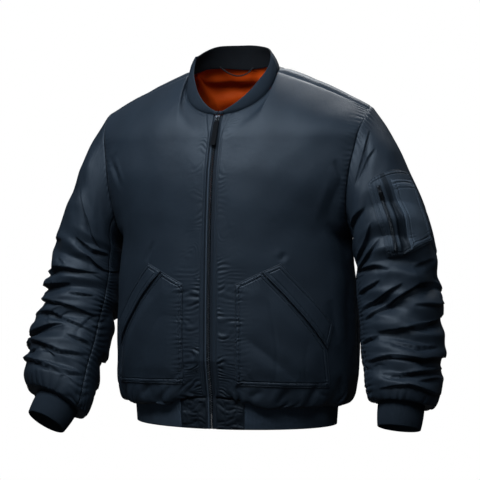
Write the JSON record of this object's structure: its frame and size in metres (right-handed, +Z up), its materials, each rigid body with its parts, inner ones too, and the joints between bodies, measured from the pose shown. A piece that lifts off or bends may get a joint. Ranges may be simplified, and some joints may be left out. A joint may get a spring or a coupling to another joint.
{
  "type": "bomber jacket",
  "caption": "Zipped bomber jacket held filled out: blouson body, full creased sleeves, rib collar, cuffs and hem, slanted hand pockets, and a zipped utility pocket on one sleeve.",
  "frame": {"origin": "the nape: the middle of the seam that joins the collar to the back", "axes": "+Z up, -Y out of the zipped front, +X towards the wearer's left"},
  "size_m": [0.8142, 0.3015, 0.7458],
  "materials": {
    "nylon": "satin",
    "rib": "matte",
    "lining": "satin",
    "zip_tape": "matte",
    "zip_metal": "satin",
    "webbing": "matte"
  },
  "bodies": {
    "jacket": {"back": "nylon", "collar": "rib", "cuff_left": "rib", "cuff_right": "rib", "front_left": "nylon", "front_right": "nylon", "hanger_loop": "webbing", "hem_block_left": "nylon", "hem_block_right": "nylon", "hem_rib": "rib", "lining_back": "lining", "lining_front_left": "lining", "lining_front_right": "lining", "pocket_left": "nylon", "pocket_right": "nylon", "pocket_welt_left": "nylon", "pocket_welt_right": "nylon", "sleeve_pocket": "nylon", "sleeve_pocket_pen": "nylon", "sleeve_pocket_zip": "zip_tape", "sleeve_slider": "zip_metal", "sleeve_top_left": "nylon", "sleeve_top_right": "nylon", "sleeve_under_left": "nylon", "sleeve_under_right": "nylon", "zip_chain": "zip_tape", "zip_slider": "zip_metal", "zip_tape_left": "zip_tape", "zip_tape_right": "zip_tape"},
    "zip_pull": {"zip_pull_ring": "zip_metal", "zip_pull_tab": "webbing"},
    "sleeve_pull": {"sleeve_pull_ring": "zip_metal", "sleeve_pull_tab": "zip_metal"}
  },
  "joints": [
    {"name": "zip_pull_hinge", "type": "hinge", "parent": "jacket", "child": "zip_pull", "pos_m": [0, -0.17635, -0.10755], "axis": [-1, 0, 0], "range_deg": [0, 150]},
    {"name": "sleeve_pull_hinge", "type": "hinge", "parent": "jacket", "child": "sleeve_pull", "pos_m": [0.29894, -0.15158, -0.24031], "axis": [-0.8957, -0.3221, -0.3065], "range_deg": [0, 150]}
  ]
}
